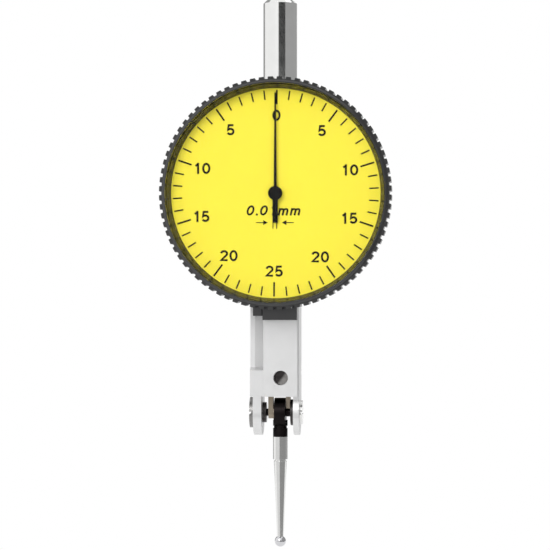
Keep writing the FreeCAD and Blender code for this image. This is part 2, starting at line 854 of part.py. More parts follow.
def half_tooth(radius, teeth, module):
    """Half the angle that a tooth fills at a radius, thinned by the backlash."""
    pitch_radius = module * teeth / 2
    base_radius = pitch_radius * math.cos(PRESSURE_ANGLE)
    roll = math.acos(min(1.0, base_radius / radius))
    half = math.pi / (2 * teeth) - d.backlash.value / (2 * pitch_radius)
    return half + involute(PRESSURE_ANGLE) - involute(roll)


def tooth_corners(middle, teeth, module, addendum, dedendum):
    """The corners of one tooth, from one root to the other, about the gear's centre."""
    pitch_radius = module * teeth / 2
    levels = [pitch_radius - dedendum, pitch_radius - dedendum / 3, pitch_radius + addendum / 3,
              pitch_radius + addendum]
    rising = [polar(level, middle - half_tooth(level, teeth, module)) for level in levels]
    falling = [polar(level, middle + half_tooth(level, teeth, module)) for level in reversed(levels)]
    return rising + falling


def solid_between(corners, start, end):
    """A prism along X over an outline of (Y, Z) corners."""
    loop = [FreeCAD.Vector(start, y, z) for y, z in corners]
    face = Part.Face(Part.makePolygon(loop + loop[:1]))
    return face.extrude(FreeCAD.Vector(end - start, 0, 0))


def sector_shape():
    """The toothed end of the lever, about the pivot."""
    module = d.sector_module.value
    teeth = int(d.sector_teeth.value)
    pitch_angle = 2 * math.pi / teeth
    count = int(d.sector_tooth_count.value)
    corners = []
    for number in range(count):
        middle = math.pi / 2 + (number - (count - 1) / 2) * pitch_angle
        corners += tooth_corners(middle, teeth, module, module, DEDENDUM * module)
    root = module * teeth / 2 - DEDENDUM * module
    spread = count * pitch_angle / 2
    inner = PIVOT_DROP.value - d.sector_depth.value - INTO
    half = d.arm_half_high.value
    right_foot = (half, inner)
    left_foot = (-half, inner)
    right_end = polar(root, math.pi / 2 - spread)
    left_end = polar(root, math.pi / 2 + spread)
    heel = root - d.sector_heel.value
    right_heel = polar(heel, math.pi / 2 - spread)
    left_heel = polar(heel, math.pi / 2 + spread)
    outline = [right_foot, right_heel, right_end] + corners + [left_end, left_heel, left_foot]
    return solid_between(outline, d.arm_left.value, d.arm_right.value)


def make_sector_lever():
    """The yoke round the stylus holder, the long arm and the toothed sector."""
    body = body_at("lever_yoke_and_arm", PIVOT_PLACE, is_node=False)
    half = d.cheek_half
    left_cheek = rectangle(-half, 0, half, d.yoke_top)
    pad(body, "left_cheek", "YZ_Plane", d.left_cheek_outer, d.left_cheek_inner, [left_cheek])
    pad(
        body, "left_eye", "YZ_Plane", d.left_cheek_outer, d.left_cheek_inner,
        circles=[((0, 0), half)],
    )
    bridge = rectangle(-half, d.yoke_bottom, half, d.yoke_top)
    pad(body, "bridge", "YZ_Plane", d.left_cheek_inner - INTO, d.right_cheek_outer, [bridge])
    drop = rectangle(-half, 0, half, d.yoke_bottom + INTO)
    pad(body, "right_cheek", "YZ_Plane", d.right_cheek_inner, d.right_cheek_outer, [drop])
    top = PIVOT_DROP - d.sector_depth
    arm = [
        (-d.arm_half_low, d.yoke_top - INTO),
        (d.arm_half_low, d.yoke_top - INTO),
        (d.arm_half_low, d.yoke_top),
        (d.arm_half_high, top),
        (-d.arm_half_high, top),
        (-d.arm_half_low, d.yoke_top),
    ]
    pad(body, "arm", "YZ_Plane", d.arm_left, d.arm_right, [arm])
    pocket(
        body, "arbor_hole", "YZ_Plane", d.left_cheek_outer - PAST, d.left_cheek_inner + PAST,
        circles=[((0, 0), d.arbor_radius)],
    )
    pocket(
        body, "collar_seat", "YZ_Plane", d.right_cheek_inner - PAST, d.right_cheek_outer + PAST,
        circles=[((0, 0), d.arbor_collar_radius)],
    )
    mouth = rectangle(-half - PAST, -PAST, 0, d.arbor_collar_radius)
    pocket(
        body, "collar_mouth", "YZ_Plane", d.right_cheek_inner - PAST / 2, d.right_cheek_outer + PAST,
        [mouth],
    )
    teeth = doc.addObject("Part::Feature", "sector_teeth")
    teeth.Shape = sector_shape()
    place(teeth, PIVOT_PLACE)
    return joined("sector_lever", [body, teeth])


def make_friction_washer():
    """The washer between the left cheek and the stylus holder."""
    start = d.left_cheek_inner + d.washer_gap
    end = -d.holder_half - d.washer_gap
    outer = d.collar_top - d.washer_gap
    section = tube_section(start, end, d.arbor_radius + d.shaft_gap, outer)
    return turned("friction_washer", PIVOT_PLACE, "X", section)


def make_stop_pins():
    """Two pins in the body's left wall that stop the lever's arm."""
    body = body_at("stop_pins", DIAL_PLACE)
    spots = [((side * stop_offset(), d.stop_height - PIVOT_DROP), d.stop_radius) for side in (-1, 1)]
    pad(body, "pins", "YZ_Plane", BODY_LEFT, d.arm_right + d.stop_past_arm, circles=spots)
    return body


# Stylus

def make_stylus_holder():
    """The hub that turns with drag on the lever's arbor, with the collar that takes the stylus."""
    body = body_at("stylus_holder", PIVOT_PLACE)
    pad(
        body, "hub", "YZ_Plane", -d.holder_half, d.holder_half,
        circles=[((0, 0), d.holder_radius)],
    )
    groove_end = d.collar_groove_top + d.collar_groove_width
    collar = [
        (-d.collar_top, 0),
        (-d.collar_bottom, 0),
        (-d.collar_bottom, d.collar_radius),
        (-groove_end, d.collar_radius),
        (-groove_end, d.collar_radius - d.collar_groove),
        (-d.collar_groove_top, d.collar_radius - d.collar_groove),
        (-d.collar_groove_top, d.collar_radius),
        (-d.collar_top, d.collar_radius),
    ]
    turn(body, "collar", "Z", collar)
    pocket(
        body, "bore", "YZ_Plane", -d.holder_half - PAST, d.holder_half + PAST,
        circles=[((0, 0), d.arbor_radius + d.holder_gap)],
    )
    thread_end = -d.collar_bottom + d.stylus_thread_length + d.hole_relief
    pocket(
        body, "thread", "XY_Plane", -d.collar_bottom - PAST, thread_end,
        circles=[((0, 0), d.stylus_thread_radius + d.thread_gap)],
    )
    return body


def make_stylus():
    """The contact shaft: thread, collar, neck and long taper."""
    end = STYLUS_REACH - seat_of_ball()
    neck = d.stylus_shoulder + d.stylus_neck
    section = [
        (-d.collar_bottom + d.stylus_thread_length, 0),
        (-end, 0),
        (-end, d.stylus_tip_radius),
        (-neck, d.stylus_top_radius),
        (-neck, d.stylus_top_radius - d.stylus_neck_depth),
        (-d.stylus_shoulder, d.stylus_top_radius - d.stylus_neck_depth),
        (-d.stylus_shoulder, d.collar_radius),
        (-d.collar_bottom, d.collar_radius),
        (-d.collar_bottom, d.stylus_thread_radius),
        (-d.collar_bottom + d.stylus_thread_length, d.stylus_thread_radius),
    ]
    return turned("stylus", PIVOT_PLACE, "Z", section)


def seat_of_ball():
    """How far the flat seat on the ball lies from its centre."""
    ball = d.ball_radius
    tip = d.stylus_tip_radius
    value = math.sqrt(ball.value**2 - tip.value**2)
    return Size(value, f"sqrt({ball.formula}^2 - {tip.formula}^2)")


def make_contact_ball():
    """The hard ball, with a flat where it is brazed to the shaft."""
    ball = doc.addObject("Part::Sphere", "contact_ball")
    ball.Label = "contact_ball"
    ball.setExpression("Radius", d.ball_radius.formula)
    tip = d.stylus_tip_radius
    ball.setExpression("Angle2", f"acos({tip.formula} / {d.ball_radius.formula})")
    place(ball, (0, 0, -(d.dial_drop + PIVOT_DROP + STYLUS_REACH)))
    nodes.append(ball)
    return ball


# Gear train

def spur_shape(teeth, module, addendum, dedendum, first_angle):
    """The outline of a whole pinion as (Y, Z) corners."""
    corners = []
    for number in range(teeth):
        middle = first_angle + number * 2 * math.pi / teeth
        corners += tooth_corners(middle, teeth, module, addendum, dedendum)
    return corners


def make_arbor_pinion():
    """The pinion that the sector drives, on the shaft that carries the face wheel."""
    teeth = int(d.pinion_teeth.value)
    module = d.sector_module.value
    gap_down = -math.pi / 2 + math.pi / teeth
    corners = spur_shape(teeth, module, module, DEDENDUM * module, gap_down)
    pinion = solid_between(corners, d.pinion_left.value, d.pinion_right.value)
    left = BODY_LEFT.value + d.train_end_gap.value
    right = BODY_RIGHT.value - d.train_end_gap.value
    shaft = Part.makeCylinder(
        d.train_shaft_radius.value, right - left, FreeCAD.Vector(left, 0, 0), FreeCAD.Vector(1, 0, 0)
    )
    return computed("arbor_pinion", pinion.fuse(shaft).removeSplitter(), DIAL_PLACE)


def face_tooth(radius_in, radius_out):
    """One tooth of the face wheel, pointing to -X, at the side nearest the dial."""
    module = d.crown_module.value
    pitch_plane = CENTRE_PINION_RADIUS.value
    half = (math.pi * module / 2 - d.backlash.value) / 2
    slope = math.tan(PRESSURE_ANGLE)
    tip = pitch_plane - module
    foot = pitch_plane + DEDENDUM * module + INTO
    tip_half = half - module * slope
    foot_half = half + (foot - pitch_plane) * slope
    corners = [(tip, -tip_half), (tip, tip_half), (foot, foot_half), (foot, -foot_half)]
    loop = [FreeCAD.Vector(x, -radius_in, z) for x, z in corners]
    face = Part.Face(Part.makePolygon(loop + loop[:1]))
    return face.extrude(FreeCAD.Vector(0, radius_in - radius_out, 0))


def make_crown_wheel():
    """The face wheel: a thin plate with a hub and teeth that point sideways."""
    along = FreeCAD.Vector(1, 0, 0)
    middle = CROWN_RADIUS.value
    half_face = d.crown_face.value / 2
    start = CROWN_PLATE_LEFT.value
    thickness = d.crown_plate.value
    origin = FreeCAD.Vector(start, 0, 0)
    plate = Part.makeCylinder(middle + half_face, thickness, origin, along)
    hub = Part.makeCylinder(d.crown_hub_radius.value, d.crown_hub_length.value, origin, along)
    count = int(d.crown_teeth.value)
    tooth = face_tooth(middle - half_face, middle + half_face - d.crown_rim_step.value)
    ring = []
    for number in range(count):
        copy = tooth.copy()
        copy.rotate(FreeCAD.Vector(0, 0, 0), along, number * 360 / count)
        ring.append(copy)
    wheel = plate.multiFuse([hub] + ring)
    depth = d.crown_hub_length.value + 2 * PAST
    bore = Part.makeCylinder(
        d.train_shaft_radius.value, depth, FreeCAD.Vector(start - PAST, 0, 0), along
    )
    windows = []
    window_count = int(d.crown_window_count.value)
    window_middle = FreeCAD.Vector(start - PAST, 0, d.crown_window_offset.value)
    for number in range(window_count):
        hole = Part.makeCylinder(d.crown_window_radius.value, depth, window_middle, along)
        hole.rotate(FreeCAD.Vector(0, 0, 0), along, (number + 0.5) * 360 / window_count)
        windows.append(hole)
    return computed("crown_wheel", wheel.cut([bore] + windows), DIAL_PLACE)


def make_train_bearings():
    """The two small bushes of the face wheel's shaft."""
    bore = d.train_shaft_radius + d.shaft_gap
    outer = d.train_bush_radius
    left_end = CAVITY_LEFT + d.left_bearing_inset
    right_start = PLATE_LEFT - d.right_bearing_inset
    turned("arbor_bearing_left", DIAL_PLACE, "X", tube_section(BODY_LEFT, left_end, bore, outer))
    turned("arbor_bearing_right", DIAL_PLACE, "X", tube_section(right_start, BODY_RIGHT, bore, outer))


def make_centre_pinion():
    """The pinion that the face wheel drives, on the long shaft that carries the pointer."""
    teeth = int(d.centre_teeth.value)
    module = d.crown_module.value
    first = math.pi / teeth
    corners = spur_shape(teeth, module, module, DEDENDUM * module, first)
    half_length = d.crown_face.value / 2 + d.pinion_overhang.value
    back = CROWN_RADIUS.value - half_length
    front = CROWN_RADIUS.value + half_length
    loop = [FreeCAD.Vector(x, -back, z) for x, z in corners]
    face = Part.Face(Part.makePolygon(loop + loop[:1]))
    pinion = face.extrude(FreeCAD.Vector(0, back - front, 0))
    start = front - d.pinion_overhang.value
    length = SHAFT_END.value - start
    shaft = Part.makeCylinder(
        d.train_shaft_radius.value, length, FreeCAD.Vector(0, -start, 0), FreeCAD.Vector(0, -1, 0)
    )
    return computed("centre_pinion", pinion.fuse(shaft).removeSplitter(), DIAL_PLACE)


def make_centre_bush():
    """The flanged tube that carries the pointer's shaft."""
    bore = d.train_shaft_radius + d.shaft_gap
    flange_front = CASE_FRONT_OF_FLOOR + d.centre_bush_flange_thickness
    back = d.block_front - d.centre_bush_reach
    front = COLLET_BACK - d.centre_bush_gap
    section = [
        (back, bore),
        (front, bore),
        (front, d.centre_bush_radius),
        (flange_front, d.centre_bush_radius),
        (flange_front, d.centre_bush_flange),
        (CASE_FRONT_OF_FLOOR, d.centre_bush_flange),
        (CASE_FRONT_OF_FLOOR, d.centre_bush_radius),
        (back, d.centre_bush_radius),
    ]
    return turned("centre_bush", DIAL_PLACE, "Y", section)


def spiral_radius(half_turn):
    return d.collet_radius.value + d.thread_gap.value + d.spiral_pitch.value * half_turn / 2


def spiral_path(offset):
    """Half circles that grow step by step, moved outwards by the offset."""
    centre = 0.0
    start = FreeCAD.Vector(spiral_radius(0) + offset, 0, 0)
    edges = []
    side = 1
    for number in range(2 * int(d.spiral_turns.value)):
        radius = spiral_radius(number) + offset
        middle = FreeCAD.Vector(centre, 0, side * radius)
        end = FreeCAD.Vector(centre - side * radius, 0, 0)
        edges.append(Part.Arc(start, middle, end).toShape())
        centre = centre + side * d.spiral_pitch.value / 2
        start = end
        side = -side
    return edges


def make_hairspring():
    """The flat spiral spring that takes up the play of the train."""
    outer = spiral_path(d.spiral_thickness.value)
    inner = spiral_path(0)
    caps = [
        Part.makeLine(inner[0].Vertexes[0].Point, outer[0].Vertexes[0].Point),
        Part.makeLine(inner[-1].Vertexes[-1].Point, outer[-1].Vertexes[-1].Point),
    ]
    outline = Part.Wire(Part.__sortEdges__(inner + outer + caps))
    ribbon = Part.Face(outline).extrude(FreeCAD.Vector(0, -d.spiral_height.value, 0))
    back = (COLLET_BACK + COLLET_FRONT) / 2 - d.spiral_height / 2
    return computed("hairspring", ribbon, (0, -back, -d.dial_drop))


def make_hairspring_collet():
    """The split collar that holds the hairspring's inner end on the shaft."""
    section = tube_section(COLLET_BACK, COLLET_FRONT, d.train_shaft_radius, d.collet_radius)
    return turned("hairspring_collet", DIAL_PLACE, "Y", section)


def make_hairspring_stud():
    """The post on the case floor that holds the hairspring's outer end."""
    spring_end = spiral_path(d.spiral_thickness.value)[-1].Vertexes[-1].Point.x
    middle = spring_end + d.thread_gap + d.stud_radius
    body = body_at("hairspring_stud", DIAL_PLACE)
    pad(
        body, "post", "XZ_Plane", CASE_FRONT_OF_FLOOR, COLLET_FRONT,
        circles=[((middle, 0), d.stud_radius)],
    )
    return body


# Dial head

def make_bezel_ring():
    """The knurled ring that turns with the scale, with a sloping ledge round the dial."""
    body = body_at("bezel_ring", DIAL_PLACE)
    shoulder = d.bezel_radius - d.bezel_shoulder
    lip_front = RING_BACK - d.ring_stand
    section = [
        (BEZEL_BACK, BEZEL_BORE),
        (lip_front, BEZEL_BORE),
        (lip_front, WIDE_BORE),
        (DIAL_BACK, WIDE_BORE),
        (DIAL_BACK, BEZEL_BORE),
        (d.dial_front, BEZEL_BORE),
        (d.dial_front, LEDGE_RADIUS),
        (CRYSTAL_BACK, BEZEL_BORE - d.ledge_seat),
        (CRYSTAL_BACK, BEZEL_BORE),
        (BEZEL_FRONT, BEZEL_BORE),
        (BEZEL_FRONT, shoulder - d.bezel_bevel),
        (BEZEL_FRONT - d.bezel_bevel, shoulder),
        (KNURL_FRONT, shoulder),
        (KNURL_FRONT, d.bezel_radius),
        (BEZEL_BACK, d.bezel_radius),
    ]
    turn(body, "ring", "Y", section)
    pitch = 2 * math.pi * d.bezel_radius / d.knurl_teeth
    top = d.bezel_radius + INTO
    bottom = d.bezel_radius - d.knurl_depth
    half = pitch * d.knurl_groove_share / 2
    groove = [(-half, top), (half, top), (half - d.knurl_slope, bottom), (d.knurl_slope - half, bottom)]
    cut = pocket(body, "groove", "XZ_Plane", BEZEL_BACK - PAST, KNURL_FRONT + PAST, [groove])
    repeat_round(body, "knurl", cut, "N_Axis", d.knurl_teeth)
    return body


def make_crystal():
    """The clear disc, pressed into the bezel from the front."""
    return turned("crystal", DIAL_PLACE, "Y", rod_section(CRYSTAL_BACK, CRYSTAL_FRONT, DISC_RADIUS))


def make_dial_plate():
    """The scale's disc, with a hole for the pointer's shaft."""
    section = tube_section(DIAL_BACK, d.dial_front, d.dial_hole, DISC_RADIUS)
    return turned("dial_plate", DIAL_PLACE, "Y", section)


def split_ring(label, start, end, inner, outer):
    """A flat ring with a gap at the bottom."""
    body = turned(label, DIAL_PLACE, "Y", tube_section(start, end, inner, outer))
    gap = rectangle(-d.ring_split / 2, -(outer + PAST), d.ring_split / 2, 0)
    pocket(body, "split", "XZ_Plane", start - PAST, end + PAST, [gap])
    return body


def make_dial_clip():
    """The split ring behind the dial plate, sprung into the bezel's wide bore."""
    outer = WIDE_BORE - d.bezel_gap
    return split_ring("dial_clip", CLIP_BACK, DIAL_BACK, outer - d.clip_width, outer)


def make_bezel_spring():
    """The split ring in the case's groove that holds the bezel by its rear lip."""
    return split_ring(
        "bezel_spring", RING_BACK, RING_FRONT, DISC_RADIUS - d.ring_depth, WIDE_BORE - d.bezel_gap
    )


def make_dial_case():
    """The cup behind the bezel, with the neck that reaches down over the body."""
    body = body_at("dial_case", DIAL_PLACE)
    floor = CASE_FRONT_OF_FLOOR
    groove_bottom = DISC_RADIUS - d.ring_depth
    cup = [
        (d.block_front, d.centre_bush_radius),
        (floor, d.centre_bush_radius),
        (floor, CUP_RADIUS),
        (CASE_RIM, CUP_RADIUS),
        (CASE_RIM, DISC_RADIUS),
        (RING_FRONT, DISC_RADIUS),
        (RING_FRONT, groove_bottom),
        (RING_BACK, groove_bottom),
        (RING_BACK, DISC_RADIUS),
        (d.block_front + d.case_chamfer, DISC_RADIUS),
        (d.block_front, DISC_RADIUS - d.case_chamfer),
    ]
    turn(body, "cup", "Y", cup)
    left = d.body_offset - d.neck_width / 2
    right = d.body_offset + d.neck_width / 2
    neck_top = DISC_RADIUS - d.neck_root
    neck_bottom = d.bezel_radius + d.neck_length
    neck = rectangle(left, -neck_bottom, right, -neck_top)
    pad(body, "neck", "XZ_Plane", d.block_front, BEZEL_BACK - d.neck_gap, [neck])
    foot = rectangle(left, -neck_bottom, right, d.block_bottom)
    pad(body, "neck_foot", "XZ_Plane", RAIL_FRONT, d.block_front + INTO, [foot])
    cheek = rectangle(-d.cheek_piece_left, d.cheek_piece_bottom, BODY_LEFT, -neck_top)
    pad(body, "left_cheek", "XZ_Plane", d.core_front, floor, [cheek])
    hole = d.case_screw_radius + 2 * d.thread_gap
    holes = [((d.body_offset, height), hole) for height in CASE_SCREW_HEIGHTS]
    pocket(body, "screw_holes", "XZ_Plane", d.block_front - PAST, floor + PAST, circles=holes)
    return body


def make_case_screws():
    """The screws that hold the cup on the body."""
    body = body_at("case_screws", DIAL_PLACE)
    floor = CASE_FRONT_OF_FLOOR
    shanks = [((d.body_offset, height), d.case_screw_radius) for height in CASE_SCREW_HEIGHTS]
    heads = [((d.body_offset, height), d.case_head_radius) for height in CASE_SCREW_HEIGHTS]
    end = d.block_front - d.case_screw_length
    pad(body, "shanks", "XZ_Plane", end, floor + INTO, circles=shanks)
    pad(body, "heads", "XZ_Plane", floor, floor + d.case_head_thickness, circles=heads)
    return body


def make_pointer():
    """The needle with its tail and the capped boss that grips the shaft."""
    body = body_at("pointer", DIAL_PLACE)
    boss_back = d.dial_front + d.pointer_boss_lift
    boss = [
        (boss_back, d.train_shaft_radius),
        (SHAFT_END, d.train_shaft_radius),
        (SHAFT_END, 0),
        (BOSS_FRONT, 0),
        (BOSS_FRONT, d.pointer_boss_radius),
        (boss_back, d.pointer_boss_radius),
    ]
    turn(body, "boss", "Y", boss)
    start = (d.train_shaft_radius + d.pointer_boss_radius) / 2
    root = d.pointer_root_width / 2
    tip = d.pointer_tip_width / 2
    length = LEDGE_RADIUS - d.pointer_end_gap
    needle = [(-root, start), (root, start), (tip, length), (-tip, length)]
    tail_half = d.tail_width / 2
    tail = rectangle(-tail_half, -d.tail_length, tail_half, -start)
    front = POINTER_BACK + d.pointer_thickness
    pad(body, "needle", "XZ_Plane", POINTER_BACK, front, [needle])
    pad(body, "tail", "XZ_Plane", POINTER_BACK, front, [tail])
    return body


def check_document():
    """Stops if any object failed or any piece isn't one or more valid solids."""
    for thing in doc.Objects:
        if "Invalid" in thing.State or "Error" in thing.State:
            raise ValueError(f"{thing.Name} failed: {thing.State}")
        base = getattr(thing, "BaseFeature", None)
        cuts = thing.TypeId in ("PartDesign::Pocket", "PartDesign::Groove")
        if cuts and base is not None and thing.Shape.Volume > base.Shape.Volume - 1e-5:
            raise ValueError(f"{thing.Name} cuts nothing")
    for piece in nodes:
        if piece.Shape.isNull() or not piece.Shape.isValid() or not piece.Shape.Solids:
            raise ValueError(f"{piece.Label} has no valid solid")


def write_parts():
    os.makedirs("parts", exist_ok=True)
    for piece in nodes:
        piece.Shape.exportStep(f"parts/{piece.Label}.step")
        box = piece.Shape.BoundBox
        print(
            f"{piece.Label:22s} {len(piece.Shape.Solids)} solids {piece.Shape.Volume:9.3f} mm3"
            f"  x {box.XMin:7.2f} {box.XMax:7.2f}  y {box.YMin:7.2f} {box.YMax:7.2f}"
            f"  z {box.ZMin:7.2f} {box.ZMax:7.2f}"
        )
    print(f"{len(nodes)} pieces")


make_stem()
make_clamp_jaw()
make_clamp_screw()
make_body_frame()
make_side_plate()
make_side_plate_screws()
make_limit_screw()
make_pivot_screw("pivot_screw_left", EAR_LEFT, -1, d.left_head_radius, d.left_head_thickness)
make_pivot_screw("pivot_screw_right", BODY_RIGHT, 1, d.right_head_radius, d.right_head_thickness)
make_pivot_bush("pivot_bush_left", GAP_LEFT, -1, d.left_flange_radius, d.left_flange_thickness)
make_pivot_bush("pivot_bush_right", GAP_RIGHT, 1, d.right_flange_radius, d.right_flange_thickness)
make_lever_arbor()
make_sector_lever()
make_friction_washer()
make_stop_pins()
make_stylus_holder()
make_stylus()
make_contact_ball()
make_arbor_pinion()
make_crown_wheel()
make_train_bearings()
make_centre_pinion()
make_centre_bush()
make_hairspring()
make_hairspring_collet()
make_hairspring_stud()
make_bezel_ring()
make_crystal()
make_dial_plate()
make_dial_clip()
make_bezel_spring()
make_dial_case()
make_case_screws()
make_pointer()
doc.recompute()
check_document()
write_parts()
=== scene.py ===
import json
import math

import bmesh
import bpy
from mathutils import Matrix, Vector


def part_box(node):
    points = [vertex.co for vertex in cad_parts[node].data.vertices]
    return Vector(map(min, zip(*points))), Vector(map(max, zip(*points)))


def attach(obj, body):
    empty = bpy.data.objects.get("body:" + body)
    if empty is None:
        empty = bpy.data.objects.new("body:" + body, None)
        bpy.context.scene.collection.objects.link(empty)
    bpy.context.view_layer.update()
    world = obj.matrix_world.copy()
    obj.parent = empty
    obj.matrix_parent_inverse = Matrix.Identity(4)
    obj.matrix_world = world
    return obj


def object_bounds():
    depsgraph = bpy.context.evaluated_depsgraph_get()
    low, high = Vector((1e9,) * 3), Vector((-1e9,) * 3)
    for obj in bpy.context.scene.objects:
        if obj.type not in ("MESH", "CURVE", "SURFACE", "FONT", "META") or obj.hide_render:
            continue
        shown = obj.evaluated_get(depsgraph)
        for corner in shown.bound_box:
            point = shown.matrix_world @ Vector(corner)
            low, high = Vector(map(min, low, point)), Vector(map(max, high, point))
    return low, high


# Lever-type dial test indicator: finishes, printed scale, studio and camera.
# Everything is in metres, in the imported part's own frame.

MM = 0.001
MICRON = 0.000001

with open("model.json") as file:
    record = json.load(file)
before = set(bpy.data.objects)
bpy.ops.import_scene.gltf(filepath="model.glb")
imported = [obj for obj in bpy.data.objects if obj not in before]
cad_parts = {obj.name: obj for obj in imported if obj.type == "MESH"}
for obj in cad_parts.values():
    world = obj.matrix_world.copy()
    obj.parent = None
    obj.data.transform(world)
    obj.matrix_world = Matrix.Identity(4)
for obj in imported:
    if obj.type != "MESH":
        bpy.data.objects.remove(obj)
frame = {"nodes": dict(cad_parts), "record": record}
cad_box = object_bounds()
nodes = frame["nodes"]
scene = bpy.context.scene

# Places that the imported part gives
dial_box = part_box("dial_plate")
DIAL_FACE_Y = dial_box[0].y
DIAL_CENTRE = (dial_box[0] + dial_box[1]) / 2
PART_BOTTOM = cad_box[0][2]


# Adding things to the scene

def add_object(name, data):
    thing = bpy.data.objects.new(name, data)
    scene.collection.objects.link(thing)
    return thing


def add_mesh(name, mesh, material):
    """Turns a finished bmesh into an object with one material."""
    data = bpy.data.meshes.new(name)
    mesh.to_mesh(data)
    mesh.free()
    data.materials.append(material)
    return add_object(name, data)


# Shader building blocks

WHITE = (1.0, 1.0, 1.0, 1.0)
NOISE_ROUGHNESS = 0.55
NOISE_LOW = 0.3
NOISE_HIGH = 0.7
BEVEL_SAMPLES = 4
BUMP_STRENGTH = 0.5


class NodeTree:
    """The node tree of a material or a world, filled step by step."""

    def __init__(self, owner):
        owner.use_nodes = True
        self.tree = owner.node_tree
        self.tree.nodes.clear()

    def add(self, kind, **values):
        node = self.tree.nodes.new(kind)
        for name, value in values.items():
            setattr(node, name, value)
        return node

    def link(self, source, target):
        self.tree.links.new(source, target)

    def calculate(self, operation, first, second):
        """One value worked out from two."""
        node = self.add("ShaderNodeMath", operation=operation)
        self.link(first, node.inputs[0])
        self.link(second, node.inputs[1])
        return node.outputs["Value"]

    def spread(self, value, low, high, start=NOISE_LOW, end=NOISE_HIGH):
        """Maps a value onto a range of numbers."""
        node = self.add("ShaderNodeMapRange")
        node.inputs["From Min"].default_value = start
        node.inputs["From Max"].default_value = end
        node.inputs["To Min"].default_value = low
        node.inputs["To Max"].default_value = high
        self.link(value, node.inputs["Value"])
        return node.outputs["Result"]

    def seen(self):
        """Is 1 for what the camera, a mirror or glass sees, and 0 for light on surfaces."""
        path = self.add("ShaderNodeLightPath")
        total = path.outputs["Is Camera Ray"]
        for name in ("Is Glossy Ray", "Is Transmission Ray"):
            total = self.calculate("MAXIMUM", total, path.outputs[name])
        return total


class Shader(NodeTree):
    """The node tree of a new material."""

    def __init__(self, name):
        self.material = bpy.data.materials.new(name)
        super().__init__(self.material)
        self.output = self.add("ShaderNodeOutputMaterial")

    def surface(self, result):
        self.link(result, self.output.inputs["Surface"])

    def position(self):
        """Coordinates of the object itself, in metres."""
        return self.add("ShaderNodeTexCoord").outputs["Object"]

    def noise(self, scale, detail):
        """Noise with a scale for each axis."""
        mapping = self.add("ShaderNodeMapping")
        mapping.inputs["Scale"].default_value = scale
        self.link(self.position(), mapping.inputs["Vector"])
        node = self.add("ShaderNodeTexNoise")
        node.inputs["Scale"].default_value = 1.0
        node.inputs["Detail"].default_value = detail
        node.inputs["Roughness"].default_value = NOISE_ROUGHNESS
        self.link(mapping.outputs["Vector"], node.inputs["Vector"])
        return node.outputs["Fac"]

    def blend(self, factor, first, second):
        """Mixes two colours by a factor."""
        node = self.add("ShaderNodeMix", data_type="RGBA")
        self.link(factor, node.inputs["Factor"])
        node.inputs["A"].default_value = (*first, 1.0)
        node.inputs["B"].default_value = (*second, 1.0)
        return node.outputs["Result"]

    def mix(self, factor, first, second):
        """Mixes two surfaces by a factor."""
        node = self.add("ShaderNodeMixShader")
        self.link(factor, node.inputs["Fac"])
        self.link(first, node.inputs[1])
        self.link(second, node.inputs[2])
        return node.outputs["Shader"]

    def glow(self, grey):
        """An even grey that shines by itself."""
        node = self.add("ShaderNodeEmission")
        node.inputs["Color"].default_value = (grey, grey, grey, 1.0)
        return node.outputs["Emission"]

    def rounded(self, radius):
        """Normals that soften the part's sharp edges."""
        node = self.add("ShaderNodeBevel", samples=BEVEL_SAMPLES)
        node.inputs["Radius"].default_value = radius
        return node.outputs["Normal"]

    def bump(self, height, depth, edge):
        """Normals of a skin with some depth, over softened edges."""
        node = self.add("ShaderNodeBump")
        node.inputs["Distance"].default_value = depth
        node.inputs["Strength"].default_value = BUMP_STRENGTH
        self.link(height, node.inputs["Height"])
        self.link(self.rounded(edge), node.inputs["Normal"])
        return node.outputs["Normal"]

    def principled(self, **values):
        node = self.add("ShaderNodeBsdfPrincipled")
        for name, value in values.items():
            node.inputs[name.replace("_", " ")].default_value = value
        self.surface(node.outputs["BSDF"])
        return node


def even(scale):
    """The same noise scale for each axis."""
    return (scale, scale, scale)


# Metals

GRAIN_ACROSS = 9000.0
GRAIN_ALONG = 260.0
GRAIN_DETAIL = 2.0
GRAIN_SHARE = 0.2
STAIN_SCALE = 420.0
STAIN_DETAIL = 4.0
STAIN_SHARE = 0.1
METAL_EDGE = 0.05 * MM


def grain_scale(axis):
    """Noise scales of fine lines that run along one axis."""
    return tuple(GRAIN_ALONG if name == axis else GRAIN_ACROSS for name in "XYZ")


def metal(name, dark, light, rough, grain, depth=0.5 * MICRON, metallic=1.0):
    """A metal with a grain along one axis, faint stains and softened edges."""
    shader = Shader(name)
    bsdf = shader.principled(Metallic=metallic)
    lines = shader.noise(grain_scale(grain), GRAIN_DETAIL)
    stains = shader.noise(even(STAIN_SCALE), STAIN_DETAIL)
    shader.link(shader.blend(stains, dark, light), bsdf.inputs["Base Color"])
    from_lines = shader.spread(lines, rough * (1 - GRAIN_SHARE), rough * (1 + GRAIN_SHARE))
    from_stains = shader.spread(stains, -rough * STAIN_SHARE, rough * STAIN_SHARE)
    shader.link(shader.calculate("ADD", from_lines, from_stains), bsdf.inputs["Roughness"])
    shader.link(shader.bump(lines, depth, METAL_EDGE), bsdf.inputs["Normal"])
    return shader.material


def bright_steel():
    """Polished steel: the stem, the stylus and most screws."""
    return metal("bright_steel", (0.78, 0.78, 0.77), (0.87, 0.87, 0.86), rough=0.12, grain="X")


def satin_steel():
    """Satin chromed steel: the body and its side plate."""
    return metal("satin_steel", (0.77, 0.77, 0.77), (0.83, 0.83, 0.83), rough=0.40, grain="X",
                 depth=1.0 * MICRON, metallic=0.7)


def black_steel():
    """Blackened steel: the stylus holder, the lever's arbor and the clamp's screw."""
    return metal("black_steel", (0.007, 0.006, 0.006), (0.022, 0.018, 0.018), rough=0.36, grain="X")


def hard_metal():
    """Polished carbide: the contact ball."""
    return metal("hard_metal", (0.64, 0.64, 0.66), (0.76, 0.76, 0.78), rough=0.10, grain="Y")


